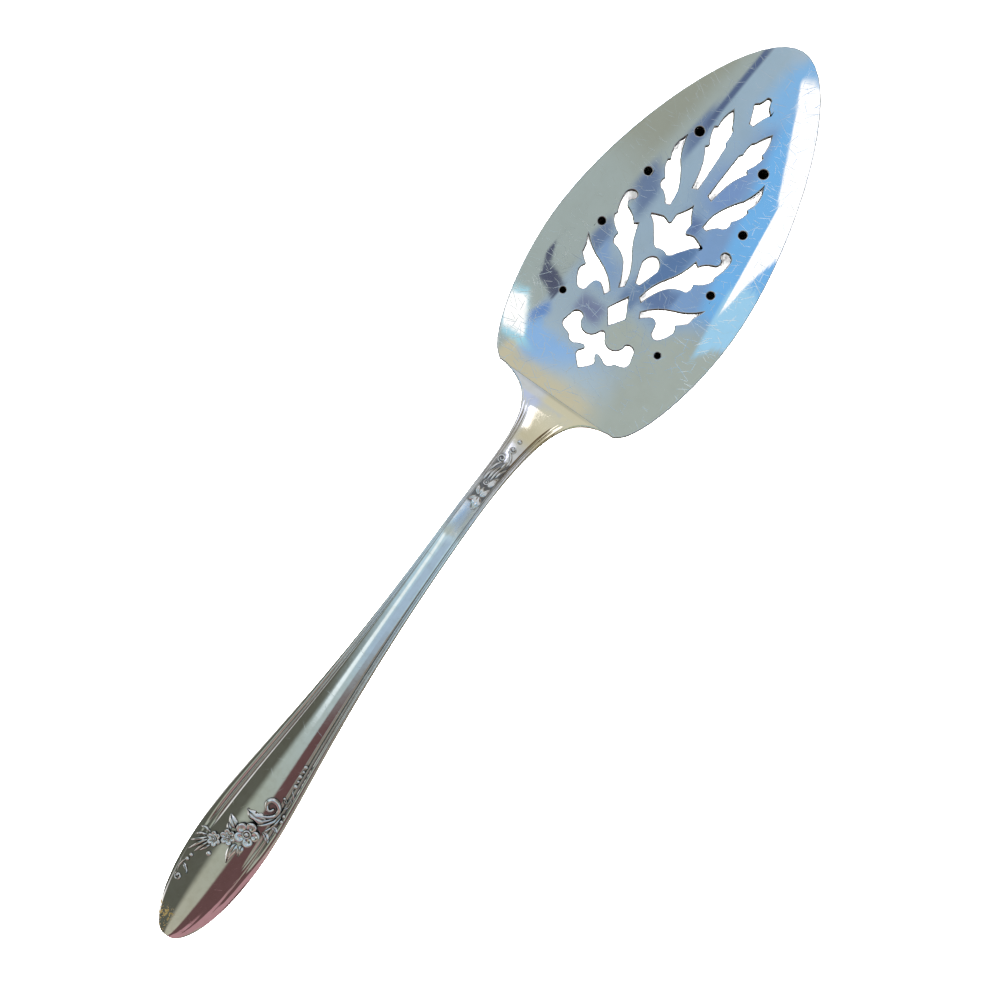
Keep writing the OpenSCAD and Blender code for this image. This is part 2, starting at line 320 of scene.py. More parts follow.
# Each card is a shade, its middle, half its size and its soft edge, all in degrees along and
# across, and then its lean and slant if it has them
cards = [
    # Beside the grip: dark on its left, warm on its right
    (OLIVE, (-36, 50), (24, 31), (6, 7)),
    (tone(128, 122, 116), (-21, -62), (10, 26), (3, 5)),
    (tone(164, 187, 208), (-6, -10), (6, 17), (2, 6)),
    (MAROON, (-38, -22), (25, 12), (5, 2.5)),
    (ROSE, (-60, -15.2), (26, 20), (2.5, 1.5), -1.4),
    (tone(236, 250, 255), (-7, 20), (9, 6.0), (2, 3.5), 1.1),
    # Over the neck and the foot: a lilac card, a white one, and a dark one low on the right
    (tone(188, 200, 226), (47.5, 13.7), (4.6, 6.0), (2.4, 0.8), 0.4),
    (DAZZLE, (59.4, 17.8), (6.4, 6.0), (0.6, 0.6), 0.41),
    (tone(96, 80, 62), (61, -38), (12, 29), (4, 4)),
    # Over the blade's heel: beige next to the foot
    (tone(197, 192, 167), (4.1, -9), (1.4, 21), (0.5, 4)),
    # Over the blade's right side: grey by the heel, then blue, then white at the rim
    (MOSS, (5.0, 40), (4.2, 30.5), (0.35, 2.5)),
    (MOSS, (8.5, 7.5), (0.9, 2.4), (0.35, 1.2)),
    (tone(126, 160, 204), (14.5, 22), (4.6, 14.5), (0.6, 4.0)),
    (SKY, (16.5, 38), (6.4, 20), (0.6, 4.0), -1.2),
    (tone(132, 184, 232), (20.3, 14), (1.3, 9), (0.5, 4.0)),
    (PALE, (11.0, 44), (1.9, 10), (0.3, 1.5), 0, 0.1),
    (WHITE, (18.75, 38), (2.2, 15), (0.08, 0.4), -5.1),
    (WHITE, (18.97, 50), (2.9, 14), (0.1, 0.35), 0, 0.39),
    # Over its left side: grey, with dark bands next to the flat strip
    (tone(161, 174, 173), (13, -27), (11, 17), (1.0, 3.0)),
    (tone(151, 157, 147), (17.5, -33), (4.5, 14), (1.5, 6.0)),
    (SLATE, (10.3, -9.5), (0.65, 5.0), (0.3, 2.5), 0, 0.04),
    (tone(130, 160, 200), (10.3, -1), (0.6, 5), (0.3, 2.5)),
    (SLATE, (13.1, -9), (0.75, 7.5), (0.4, 3.0), 0, 0.02),
    (SLATE, (16.1, -8.5), (0.9, 4.4), (0.5, 2.2)),
    (DUSK, (18.3, -9.2), (2.0, 1.9), (0.7, 1.3), -0.9),
    # Along the flat strip
    (tone(122, 152, 200), (16.0, 9.5), (0.9, 4), (0.5, 2.5)),
    (tone(94, 124, 168), (12.0, 7.2), (1.6, 1.5), (0.45, 0.8), 0.5),
    (tone(100, 124, 166), (10.8, 8.8), (0.6, 1.9), (0.25, 0.9), 1.2),
    (tone(98, 120, 164), (14.1, 6.3), (0.4, 1.3), (0.25, 0.6)),
    (tone(106, 130, 168), (9.95, 5.6), (0.38, 0.9), (0.2, 0.4)),
    (VIOLET, (8.65, 2.6), (0.45, 1.6), (0.2, 0.8)),
    # The left shoulder: a white window, and a dark curved streak
    (tone(140, 182, 230), (6.1, -2.5), (0.75, 6.5), (0.3, 3.0), 3.0),
    (tone(106, 142, 200), (6.4, -7.5), (0.85, 2.0), (0.3, 1.2), 4.0),
    (CYAN, (4.9, -17.9), (0.9, 10.5), (0.1, 1.2), 8.8),
    (WHITE, (4.9, -17.9), (0.76, 7.3), (0.05, 0.5), 8.8),
    (INK, (7.25, -14), (0.4, 7.8), (0.06, 0.8), 0, 0.06),
    (INK, (7.1, -23.5), (0.32, 3.9), (0.06, 1.0), 0, -0.085)]
for card in cards:
    colour = hang_card(colour, *card)
print("tent with", len(cards), "cards")

# %% Light the tent
GLOW_SIDE = (-0.58, 0.81)
GLOW_EDGE = (0.86, 0.93)
GLOW = (1.1, 1.1, 1.1, 1.0)

toward = direction.part(0) * GLOW_SIDE[0] + direction.part(1) * GLOW_SIDE[1]
colour = toward.ramp(*GLOW_EDGE).blend(colour, GLOW)
seen = tent.node("ShaderNodeLightPath", output="Is Camera Ray")
bounced = tent.node("ShaderNodeLightPath", output="Diffuse Depth")
strength = (1 - bounced).most(0.0)
background = tent.node("ShaderNodeBackground", {0: seen.blend(colour, WHITE), 1: strength})
tent.node("ShaderNodeOutputWorld", {0: background})
print("tent lit, with one low glow")

# %% [markdown]
# ## Table and lamps
# The table is pale and plain. A ring of low suns lights it from all round, so it stays white
# beside the server and in the larger openings, while little light gets down a small hole. Suns
# light the whole table alike, which area lamps near it wouldn't. They are hidden from
# reflections, so the metal sees only the tent.

# %% Lay the table
TABLE_SIZE, TABLE_DROP = 12.0, 0.05 * MM
TABLE_SHADE, TABLE_SEEN = (0.0225, 0.021, 0.017, 1.0), (0.9, 0.9, 0.9, 1.0)

bpy.ops.object.select_all(action="DESELECT")
bpy.ops.mesh.primitive_plane_add(size=TABLE_SIZE, location=(0, 0, -TABLE_DROP))
table = bpy.context.object
table.name = "table"
bpy.ops.object.transform_apply()
cloth = bpy.data.materials.new("pale_table")
cloth.use_nodes = True
cloth.node_tree.nodes.clear()
top = Wire(cloth.node_tree)
direct = top.node("ShaderNodeLightPath", output="Is Camera Ray")
shade = direct.blend(TABLE_SHADE, TABLE_SEEN)
top.node("ShaderNodeOutputMaterial", {0: top.node("ShaderNodeBsdfDiffuse", {0: shade})})
table.data.materials.append(cloth)
print("table", TABLE_SIZE, "m wide")

# %% Hang the suns
SUN_COUNT = 12
SUN_HEIGHT, SUN_WIDTH = math.radians(29), math.radians(6)
SUN_STRENGTH = 4.8

for number in range(SUN_COUNT):
    lamp = bpy.data.lights.new(f"table_sun_{number}", "SUN")
    lamp.energy = SUN_STRENGTH
    lamp.angle = SUN_WIDTH
    sun = bpy.data.objects.new(lamp.name, lamp)
    bpy.context.scene.collection.objects.link(sun)
    sun.rotation_euler = (math.pi / 2 - SUN_HEIGHT, 0, math.tau * number / SUN_COUNT)
    sun.visible_glossy = False
bpy.context.scene.view_settings.view_transform = "Standard"

# %% [markdown]
# ## Silver plate
# Old plate is bright but never perfect: fine scratches run every way, the polish is a little
# uneven, and dark oxide stays wherever a cloth can't reach. A painted picture could hold such
# marks, but a pattern worked out from the place on the piece needs no file and is sharp at any
# size. Scratches are drawn one to a cell of a Voronoi pattern, in layers that are each turned
# another way.

# %% Scratches
SCRATCH_SWING, SCRATCH_BEND = 1.2, 0.05
SCRATCH_SHOW = (0.3, 0.9, 0.15, 1.0)
SEED_ASIDE = 2.7
# Each layer is a turn in degrees, the cells' spacing, a line's length and width in mm, and a seed
BLADE_SCRATCHES = (
    (10, 5.0, 3.0, 0.07, 1.0), (62, 4.4, 2.6, 0.07, 3.0), (118, 6.0, 4.5, 0.07, 5.0),
    (150, 3.6, 1.8, 0.06, 7.0), (88, 2.3, 1.5, 0.05, 11.0))
HANDLE_SCRATCHES = ((35, 3.4, 1.6, 0.07, 2.0), (110, 4.6, 2.2, 0.07, 9.0))


def scratch_layer(metal, place, turn, spacing, length, width, seed):
    """Thin lines, one to a cell, near one direction. Sizes are in mm."""
    turned = metal.node("ShaderNodeVectorRotate", {
        "Vector": place, "Angle": math.radians(turn)}, rotation_type="Z_AXIS")
    cells = turned.vector("MULTIPLY", (1 / spacing, 1 / spacing, 0.0))
    cells = cells.vector("ADD", (seed, SEED_ASIDE * seed, 0.0))
    chance, spot = (metal.node("ShaderNodeTexVoronoi", {"Vector": cells, "Scale": 1.0},
                               output=output, voronoi_dimensions="2D")
                    for output in ("Color", "Position"))
    away = cells.vector("SUBTRACT", spot)
    run, aside = away.part(0) * spacing, away.part(1) * spacing
    aside = aside + run * (chance.part(0) - 0.5) * SCRATCH_SWING
    aside = aside + run * run * (chance.part(1) - 0.5) * SCRATCH_BEND
    line = aside.within(width / 2, width / 3) * run.within(length / 2, length / 4)
    return line * chance.part(2).ramp(*SCRATCH_SHOW)


def scratches(metal, place, layers):
    """The strongest line of all the layers at each place."""
    lines, *others = [scratch_layer(metal, place, *layer) for layer in layers]
    for other in others:
        lines = lines.most(other)
    return lines


# %% What all the metals share
UNEVEN_SCALE, UNEVEN_DEPTH = 0.07, 0.003
SCRATCH_DEPTH = 0.003
FINE_DETAIL = 4.0


def start_metal(name):
    """A new material, the wire that adds its nodes, and the place on the piece in mm."""
    material = bpy.data.materials.new(name)
    material.use_nodes = True
    material.node_tree.nodes.clear()
    metal = Wire(material.node_tree)
    place = metal.node("ShaderNodeTexCoord", output="Object")
    return material, metal, place.vector("MULTIPLY", (1 / MM, 1 / MM, 1 / MM))


def noise(metal, place, scale, detail=2.0):
    """Soft random values, with about so many swells to a mm."""
    return metal.node("ShaderNodeTexNoise", {"Vector": place, "Scale": scale, "Detail": detail})


def marked(metal, name):
    """The share that a mesh's own attribute gives."""
    return metal.node("ShaderNodeAttribute", output=2, attribute_name=name)


def close_metal(metal, place, base, rough, height):
    """The shader, with a slightly uneven polish under the given marks."""
    uneven = noise(metal, place, UNEVEN_SCALE) * UNEVEN_DEPTH + height
    bump = metal.node("ShaderNodeBump", {"Height": uneven, "Strength": 1.0, "Distance": MM})
    shader = metal.node("ShaderNodeBsdfPrincipled", {
        "Base Color": base, "Metallic": 1.0, "Roughness": rough, "Normal": bump})
    metal.node("ShaderNodeOutputMaterial", {0: shader})


# %% The blade's silver
SILVER, EDGE_GREY = (0.95, 0.945, 0.93, 1.0), (0.3, 0.3, 0.31, 1.0)
BLADE_FILM = (0.92, 0.91, 0.885, 1.0)
BLADE_FILM_SCALE, BLADE_FILM_SHOW = 0.22, (0.4, 0.75)
EDGE_SHARE = 0.75
BLADE_ROUGH, BLADE_FILM_ROUGH = 0.025, 0.02
BLADE_LINE_ROUGH, EDGE_ROUGH = 0.18, 0.1


def scratched_silver(name):
    """Bright plate with a thin film, fine scratches and greyer edges."""
    material, metal, place = start_metal(name)
    lines = scratches(metal, place, BLADE_SCRATCHES)
    film = noise(metal, place, BLADE_FILM_SCALE, FINE_DETAIL).ramp(*BLADE_FILM_SHOW)
    edge = marked(metal, "edge")
    rough = film * BLADE_FILM_ROUGH + BLADE_ROUGH
    rough = rough + lines * BLADE_LINE_ROUGH + edge * EDGE_ROUGH
    base = (edge * EDGE_SHARE).blend(film.blend(SILVER, BLADE_FILM), EDGE_GREY)
    close_metal(metal, place, base, rough, lines * -SCRATCH_DEPTH)
    return material


blade_silver = scratched_silver("scratched_silver")
print("made", blade_silver.name)

# %% [markdown]
# ## Oxide, wear, and a little painted shade and reflection
# On struck silver the oxide stays in the reeds and round the relief, and the plate wears through
# first at the handle's end. An Ambient Occlusion node finds the recesses by itself. The reeds are
# too shallow for it, so they are marked on the mesh, and worn places are given by where they lie.
# A thin line of shade at the crease and a beige reflection on the foot are painted in as well.

# %% The handle's silver
OXIDE, BRASS = (0.022, 0.021, 0.022, 1.0), (0.95, 0.7, 0.28, 1.0)
# The yellowed tint is a painted beige reflection, laid on the right of the foot
HANDLE_FILM, PAINTED_BEIGE = (0.88, 0.865, 0.83, 1.0), (1.0, 0.9, 0.63, 1.0)
HANDLE_ROUGH, HANDLE_FILM_ROUGH, HANDLE_LINE_ROUGH = 0.035, 0.035, 0.16
DULL_ROUGH, WORN_ROUGH, OXIDE_ROUGH = 0.2, 0.5, 0.3
HANDLE_FILM_SCALE, HANDLE_FILM_SHOW, FILM_DEPTH = 0.5, (0.35, 0.75), 0.002
OPEN_SAMPLES = 8


def struck_silver(name, reach, keep, wear_and_shade=None):
    """Silver with dark oxide left in its recesses, which lie within reach of a wall. It is
    clean where more of the sky is open than keep gives."""
    material, metal, place = start_metal(name)
    open_sky = metal.node("ShaderNodeAmbientOcclusion", {"Distance": reach}, output="AO",
                          samples=OPEN_SAMPLES)
    film = noise(metal, place, HANDLE_FILM_SCALE, FINE_DETAIL).ramp(*HANDLE_FILM_SHOW)
    clean = open_sky.ramp(*keep)
    plate = film.blend(SILVER, HANDLE_FILM)
    lines = scratches(metal, place, HANDLE_SCRATCHES)
    rough = film * HANDLE_FILM_ROUGH + HANDLE_ROUGH + lines * HANDLE_LINE_ROUGH
    if wear_and_shade:
        # Besides oxide and wear, this brings painted light: a shade line at the crease and a beige
        # reflection on the foot
        oxide_and_shade, shelter, worn, dull, painted_beige = wear_and_shade(metal, place)
        clean = (1 - (1 - clean) * shelter) * (1 - oxide_and_shade)
        plate = worn.blend(painted_beige.blend(plate, PAINTED_BEIGE), BRASS)
        rough = rough + dull * DULL_ROUGH + worn * WORN_ROUGH
    close_metal(metal, place, clean.blend(OXIDE, plate), rough + (1 - clean) * OXIDE_ROUGH,
                film * FILM_DEPTH - lines * SCRATCH_DEPTH)
    return material


# %% Where the handle is dark, rubbed or worn
# Patches are a middle, half a size and a soft edge, along and across, in mm
SPRIG_GROUND = (((0.4, 0.0), (5.9, 1.65), (0.4, 0.2)),
                ((-5.7, -0.6), (0.9, 0.7), (0.4, 0.35)),
                ((6.0, 1.3), (2.0, 0.6), (0.5, 0.3)))
NECK_PANEL = ((2.0, 0.0), (11.0, 1.9), (2.0, 0.3))
# The line at the joint is painted shade: a thin darker band on the foot where its slope meets the
# blade
CREASE_SHADE_LINE = ((25.6, -1.0), (0.3, 8.0), (0.3, 6.0))
GROUND_DIRT, CREASE_SHADE = 0.76, 0.22
SIDE_EDGE, RIGHT_DIRT = (-0.5, 0.5), 0.92
LEFT_FADE, LEFT_DIRT = (-70.0, -45.0), (0.7, 0.3)
RUBBED_FROM, RUBBED_SHARE = (-72.0, -64.0), 0.3
BRASS_END, BRASS_SIDE = (-122.0, -120.2), (0.6, 1.6)
BRASS_SCALE, BRASS_DETAIL, BRASS_SHOW = 1.6, 3.0, (0.5, 0.58)
DULL_AT, DULL_HALF, DULL_SOFT = -6.5, 7.0, 3.0
# Where the painted beige reflection lies on the foot, along and across, in mm
PAINTED_BEIGE_FROM, PAINTED_BEIGE_SIDE = (10.0, 14.0), (1.0, 3.5)


def patch(x, y, middle, half, soft):
    """One on a patch of the handle, and nothing past its soft edges."""
    return (x - middle[0]).within(half[0], soft[0]) * (y - middle[1]).within(half[1], soft[1])


def handle_wear_and_shade(metal, place):
    """Shares of oxide in the reeds and round the sprig, of painted shade in a thin line at the
    crease, of shelter from the cloth, which rubs the shank clean, of brass where the plate has
    gone, of a dull polish on the neck, and of a yellow tint on the right of the foot which paints
    the beige reflection there. Places are in mm."""
    x, y = place.part(0), place.part(1)
    right_side = y.ramp(*SIDE_EDGE, 1.0, 0.0)
    left_dirt = x.ramp(*LEFT_FADE, *LEFT_DIRT)
    oxide_and_shade = marked(metal, "reed") * (right_side * RIGHT_DIRT + (1 - right_side) * left_dirt)
    for ground in SPRIG_GROUND:
        oxide_and_shade = oxide_and_shade.most(patch(x, y, *ground) * GROUND_DIRT)
    # Painted shade: a thin dark line along the crease at the foot's front edge, added to the oxide
    oxide_and_shade = oxide_and_shade.most(patch(x, y, *CREASE_SHADE_LINE) * CREASE_SHADE)
    shelter = x.ramp(*RUBBED_FROM, 1.0, RUBBED_SHARE).most(patch(x, y, *NECK_PANEL))
    spots = noise(metal, place, BRASS_SCALE, BRASS_DETAIL).ramp(*BRASS_SHOW)
    worn = x.ramp(*BRASS_END, 1.0, 0.0) * y.ramp(*BRASS_SIDE) * spots
    dull = (x - DULL_AT).within(DULL_HALF, DULL_SOFT)
    # A yellow tint on the right of the foot paints the beige reflection seen there
    painted_beige = x.ramp(*PAINTED_BEIGE_FROM) * y.ramp(*PAINTED_BEIGE_SIDE, 1.0, 0.0)
    return oxide_and_shade, shelter, worn, dull, painted_beige


handle_silver = struck_silver(
    "struck_silver", reach=1.5 * MM, keep=(0.48, 0.84), wear_and_shade=handle_wear_and_shade)
relief_silver = struck_silver("relief_silver", reach=1.6 * MM, keep=(0.52, 0.93))
sprig_silver = struck_silver("sprig_silver", reach=0.6 * MM, keep=(0.15, 0.5))
print("made", [each.name for each in (handle_silver, relief_silver, sprig_silver)])

# %% [markdown]
# ## The blade
# The blade is cut from sheet, pierced and cupped. The CAD solid has that form already, so the
# dressed piece is a copy of it with its sharp edges softened as a polishing wheel leaves them.

# %% Soften the blade's edges
EDGE_ROUND, EDGE_STEPS = 0.28 * MM, 3
FLAT_TURN, SHARP_TURN = math.radians(0.3), math.radians(50)

blade = copy_node("blade", "pierced_blade")
edit(blade)
bpy.ops.mesh.dissolve_limited(angle_limit=FLAT_TURN)
bpy.ops.mesh.select_mode(type="EDGE")
bpy.ops.mesh.select_all(action="DESELECT")
bpy.ops.mesh.edges_select_sharp(sharpness=SHARP_TURN)
bpy.ops.mesh.bevel(offset=EDGE_ROUND, segments=EDGE_STEPS, clamp_overlap=False, loop_slide=False)
leave_edit()
for point in blade.data.vertices:
    for axis in range(3):
        point.co[axis] = min(max(point.co[axis], blade_low[axis]), blade_high[axis])
print("softened blade has", len(blade.data.polygons), "faces")

# %% [markdown]
# ## A mirror polish
# Reflections follow the surface's normals, and the triangles round the openings are long and
# thin. The blade is therefore cut into small squares, and the corners of its polished faces get
# normals from a formula: the cupped form of the sheet, dished very slightly across, because
# hand polishing leaves no strip truly flat. The rounded edges are marked, because the wheel
# leaves them duller.

# %% Cut the faces into small squares
SQUARE = 2.0 * MM

edit(blade)
for axis, low, high in ((0, blade_low.x, blade_high.x), (1, blade_low.y, blade_high.y)):
    count = math.ceil((high - low) / SQUARE)
    for number in range(1, count):
        spot = [0.0, 0.0, 0.0]
        spot[axis] = low + (high - low) * number / count
        bpy.ops.mesh.select_all(action="SELECT")
        bpy.ops.mesh.bisect(plane_co=spot, plane_no=[float(axis == 0), float(axis == 1), 0.0])
bpy.ops.mesh.select_all(action="DESELECT")
leave_edit()
print("cut blade has", len(blade.data.polygons), "faces")

# %% The form of the polished sheet
CUP, CUP_LIMIT = 55.0 * MM, 0.8
FLAT_HALF = 14.5 * MM
STRIP_TURN = math.atan2(FLAT_HALF, blade_high.x - CREASE_X)
EASE, EASE_LIMIT = 1.5 * MM, 40.0
STEP = 0.01 * MM
DISH = 180.0 * MM


def cup_lift(x, y):
    """How far the cupped side rises over the flat strip at this place."""
    away = (abs(y) - FLAT_HALF) * math.cos(STRIP_TURN) + (x - CREASE_X) * math.sin(STRIP_TURN)
    away = EASE * math.log1p(math.exp(min(away / EASE, EASE_LIMIT)))
    return CUP - math.sqrt(CUP ** 2 - min(away, CUP_LIMIT * CUP) ** 2)


def cup_normal(x, y, dish=0.0):
    """The way the sheet faces at this place, with the share of the dish that is asked for."""
    level = cup_lift(x, y)
    slope_x = (cup_lift(x + STEP, y) - level) / STEP
    slope_y = (cup_lift(x, y + STEP) - level) / STEP + dish * y / DISH
    return Vector((-slope_x, -slope_y, 1.0)).normalized()


# %% Polish the blade
POLISH_TURN = math.cos(math.radians(4))
BLADE_SMOOTH = math.radians(60)

pick(blade)
bpy.ops.object.shade_smooth_by_angle(angle=BLADE_SMOOTH)
mesh = blade.data
polished = set()
for face in mesh.polygons:
    if abs(face.normal.dot(cup_normal(face.center.x, face.center.y))) > POLISH_TURN:
        polished.update(face.vertices)
mark = mesh.attributes.new("edge", "FLOAT", "POINT")
for point in mesh.vertices:
    mark.data[point.index].value = float(point.index not in polished)
normals = [corner.vector.copy() for corner in mesh.corner_normals]
for face in mesh.polygons:
    for corner in face.loop_indices:
        number = mesh.loops[corner].vertex_index
        if number in polished:
            x, y, _ = mesh.vertices[number].co
            normals[corner] = cup_normal(x, y, 1.0) * math.copysign(1.0, face.normal.z)
mesh.normals_split_custom_set(normals)
dress(blade, blade_silver)
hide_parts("blade")
print("blade has", len(polished), "polished points")

# %% [markdown]
# ## The handle
# The handle is struck between dies: a crowned panel with two reeds along each edge. A copy of
# the CAD solid is subdivided, so that the reeds and rims run smoothly. Near its end the rims are
# pressed down into one round form. The foot's thin front edge is pressed down until it dies away
# on the blade, as a brazed and filed joint does.

# %% Sort the handle into rings
QUAD_TURN, QUAD_SHAPE = math.radians(60), math.radians(90)

handle = copy_node("handle", "reeded_handle")
edit(handle)
bpy.ops.mesh.tris_convert_to_quads(face_threshold=QUAD_TURN, shape_threshold=QUAD_SHAPE)
leave_edit()
rings = {}
for point in handle.data.vertices:
    rings.setdefault(round(point.co.x / MM, 2), []).append(point)
print("handle has", len(rings), "rings")

# %% Press the rims of its end and mark its reeds
PANEL, FLANGE, CROWN = 0.62, 0.94, 0.1
REEDS, REED_HALF, REED_FACING = (0.65, 0.775), 0.012, 0.2
RIM_FROM, SKIN, LEAST = 0.9, 0.05 * MM, 0.001 * MM
END_PRESS, FALL_START, FALL_SLOPE = 0.75, 1.05, 0.25
END_FADE = (-93.0 * MM, -107.0 * MM)
REED_FADE = (-105.0 * MM, -92.0 * MM)
FOOT_FADE = (22.0 * MM, 13.0 * MM)
OUTER_FADE, OUTER_SHARE = (-70.0 * MM, -50.0 * MM), 0.3


def way(value, start, end):
    """The share of the way from start to end, from nought to one."""
    return min(max((value - start) / (end - start), 0.0), 1.0)


mark = handle.data.attributes.new("reed", "FLOAT", "POINT")
for ring in rings.values():
    x = ring[0].co.x
    half = max(abs(point.co.y) for point in ring)
    under = min(point.co.z for point in ring)
    rim = max(point.co.z for point in ring if abs(point.co.y) > RIM_FROM * half)
    at_end = way(x, *END_FADE)
    inner = way(x, *REED_FADE) * way(x, *FOOT_FADE)
    outer = inner * (1 - (1 - OUTER_SHARE) * way(x, *OUTER_FADE))
    for point in ring:
        share = abs(point.co.y) / max(half, LEAST)
        if share > PANEL and point.co.z > under + SKIN:
            reach = min(share, FLANGE)
            slope = FALL_SLOPE * (reach - PANEL) / (FLANGE - PANEL)
            fall = (reach / PANEL) ** 2 - FALL_START - slope
            depth = min(1.0, (point.co.z - under) / max(rim - under, LEAST))
            point.co.z -= END_PRESS * CROWN * half * max(fall, 0.0) * depth * at_end
        for reed, dark in zip(REEDS, (inner, outer)):
            if point.normal.z > REED_FACING and abs(share - reed) < REED_HALF:
                mark.data[point.index].value = dark
print("reeds marked on", sum(each.value > 0 for each in mark.data), "points")
finish_with(handle, "SUBSURF", levels=2, render_levels=2)

# %% Press the foot down on the blade
FOOT_STEP, FEATHER, FEATHER_POWER = 0.42 * MM, 14.0 * MM, 1.5
HANDLE_SMOOTH = math.radians(40)

for point in handle.data.vertices:
    fade = max(0.0, 1.0 - (CREASE_X - point.co.x) / FEATHER)
    point.co.z -= FOOT_STEP * fade ** FEATHER_POWER
pick(handle)
bpy.ops.object.shade_smooth_by_angle(angle=HANDLE_SMOOTH)
dress(handle, handle_silver)
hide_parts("handle")
print("handle has", len(handle.data.polygons), "faces")

# %% [markdown]
# ## Relief laid on the handle
# The spray and the sprig are struck in low relief. They could be sculpted on the handle itself,
# but then its mesh would have to be very fine all over. Each leaf, line and bead is modelled on a
# flat plan in mm instead and laid on the handle: a ray from above finds the place and its normal.

# %% Find a place on the handle
SKY_Z = 0.1


def seat(x, y, rise=0.0):
    """The point on the handle under this plan place, moved out along the normal."""
    hit, place, normal, _ = handle.ray_cast(Vector((x * MM, y * MM, SKY_Z)), Vector((0, 0, -1)))
    if not hit:
        raise ValueError(f"nothing under {x}, {y}")
    return place + normal * rise * MM, normal


def smooth_path(points, steps=8):
    """Points of a smooth curve through the plan points."""
    ends = [tuple(2 * a - b for a, b in zip(points[0], points[1])), *points,
            tuple(2 * a - b for a, b in zip(points[-1], points[-2]))]
    path = []
    for p, q, r, s in zip(ends, ends[1:], ends[2:], ends[3:]):
        for step in range(steps):
            t = step / steps
            path.append(tuple(
                b + t * (c - a) / 2 + t * t * (2 * a - 5 * b + 4 * c - d) / 2
                + t ** 3 * (3 * b - a - 3 * c + d) / 2 for a, b, c, d in zip(p, q, r, s)))
    return path + [points[-1]]


# %% Lines that swell and die away
STROKE_SWELL, STROKE_STAND, STROKE_SIDES = 0.6, 0.35, 3
SPIRAL_STEPS, SPIRAL_LEAST, SPIRAL_BLUNT = 12, 8, 0.4


def stroke(points, thick, blunt=0.15):
    """A raised line through the plan points, thick in its middle and fine at its ends."""
    path = smooth_path(points)
    line = bpy.data.curves.new("stroke", "CURVE")
    line.dimensions = "3D"
    line.bevel_depth = MM
    line.bevel_resolution = STROKE_SIDES
    line.use_fill_caps = True
    run = line.splines.new("POLY")
    run.points.add(len(path) - 1)
    for number, (point, (x, y)) in enumerate(zip(run.points, path)):
        swell = max(blunt, math.sin(math.pi * number / (len(path) - 1)))
        point.radius = thick / 2 * swell ** STROKE_SWELL
        place, _ = seat(x, y, point.radius * STROKE_STAND)
        point.co = (*place, 1.0)
    piece = bpy.data.objects.new("stroke", line)
    bpy.context.scene.collection.objects.link(piece)
    pick(piece)
    bpy.ops.object.convert(target="MESH")
    return bpy.context.object


def spiral(x, y, first, last, start, turns, thick):
    """A stroke that winds in from one radius to another, starting at an angle in degrees."""
    count = max(SPIRAL_LEAST, round(SPIRAL_STEPS * abs(turns)))
    points = []
    for number in range(count + 1):
        t = number / count
        radius = first + (last - first) * t
        angle = math.radians(start) + math.tau * turns * t
        points.append((x + radius * math.cos(angle), y + radius * math.sin(angle)))
    return stroke(points, thick, SPIRAL_BLUNT)


# %% Leaves
LEAF_STEPS, LEAF_ENDS, LEAF_BACK = (24, 12), (0.02, 0.985), 0.3 * MM
LEAF_BELLY, LEAF_ROUND = 0.75, 0.8
LOBE_CUT, RIM_LIFT, END_LIFT = 0.3, 0.25, 0.35
RIB_CUT, RIB_WIDTH = 0.5, 0.2


def leaf(base, bend, tip, width, rise, lobes=0):
    """A leaf along a curved rib, swollen to each side of its midrib, with lobes if it has them."""
    bpy.ops.object.select_all(action="DESELECT")
    bpy.ops.mesh.primitive_grid_add(
        x_subdivisions=LEAF_STEPS[0], y_subdivisions=LEAF_STEPS[1], size=1.0)
    piece = bpy.context.object
    base, bend, tip = Vector(base), Vector(bend), Vector(tip)
    for point in piece.data.vertices:
        t, side = min(max(point.co.x + 0.5, LEAF_ENDS[0]), LEAF_ENDS[1]), point.co.y * 2
        rib = base * (1 - t) ** 2 + bend * 2 * t * (1 - t) + tip * t * t
        run = ((bend - base) * (1 - t) + (tip - bend) * t).normalized()
        half = width / 2 * math.sin(math.pi * t ** LEAF_BELLY) ** LEAF_ROUND
        if lobes:
            half *= 1 - LOBE_CUT * abs(math.cos(math.pi * lobes * t)) ** 3
        spread = rib + Vector((-run.y, run.x)) * half * side
        lift = rise * (RIM_LIFT + (1 - RIM_LIFT) * (1 - side * side))
        lift *= END_LIFT + (1 - END_LIFT) * math.sin(math.pi * t)
        lift -= RIB_CUT * rise * math.exp(-(side / RIB_WIDTH) ** 2)
        point.co, _ = seat(spread.x, spread.y, lift)
    finish_with(piece, "SOLIDIFY", thickness=LEAF_BACK, offset=-1.0)
    return piece


# %% Beads
BALL_STEPS = {"segments": 16, "ring_count": 10}
BEAD_FLAT, BEAD_STAND = 0.8, 0.2


def set_down(piece, x, y, rise):
    """Turns a piece that was modelled flat to the handle's normal and puts it in its place."""
    piece.location, normal = seat(x, y, rise)
    piece.rotation_euler = normal.to_track_quat("Z", "Y").to_euler()
    bpy.ops.object.transform_apply()


def bead(x, y, radius):
    """A flattened bead that stands about two thirds out of the handle."""
    bpy.ops.object.select_all(action="DESELECT")
    bpy.ops.mesh.primitive_uv_sphere_add(radius=radius * MM, **BALL_STEPS)
    piece = bpy.context.object
    piece.scale.z = BEAD_FLAT
    set_down(piece, x, y, BEAD_STAND * radius)
    return piece


# %% Blossoms
# Sizes are shares of the blossom's own size
PETAL_STEPS = {"segments": 20, "ring_count": 12}
PETAL_LONG, PETAL_WIDE, PETAL_THICK, PETAL_TILT = 0.42, 0.72, 0.2, -0.25
PETAL_OUT, PETAL_UP = 0.6, 0.06
HOLLOW_DEEP, HOLLOW_AT, HOLLOW_WIDE = 0.95, 0.05, 0.28
BOSS, BOSS_UP = 0.2, 0.1
RING_STEPS = {"major_segments": 24, "minor_segments": 10}
RING, RING_THICK, RING_UP = 0.28, 0.075, 0.14
BLOSSOM_STAND = 0.08


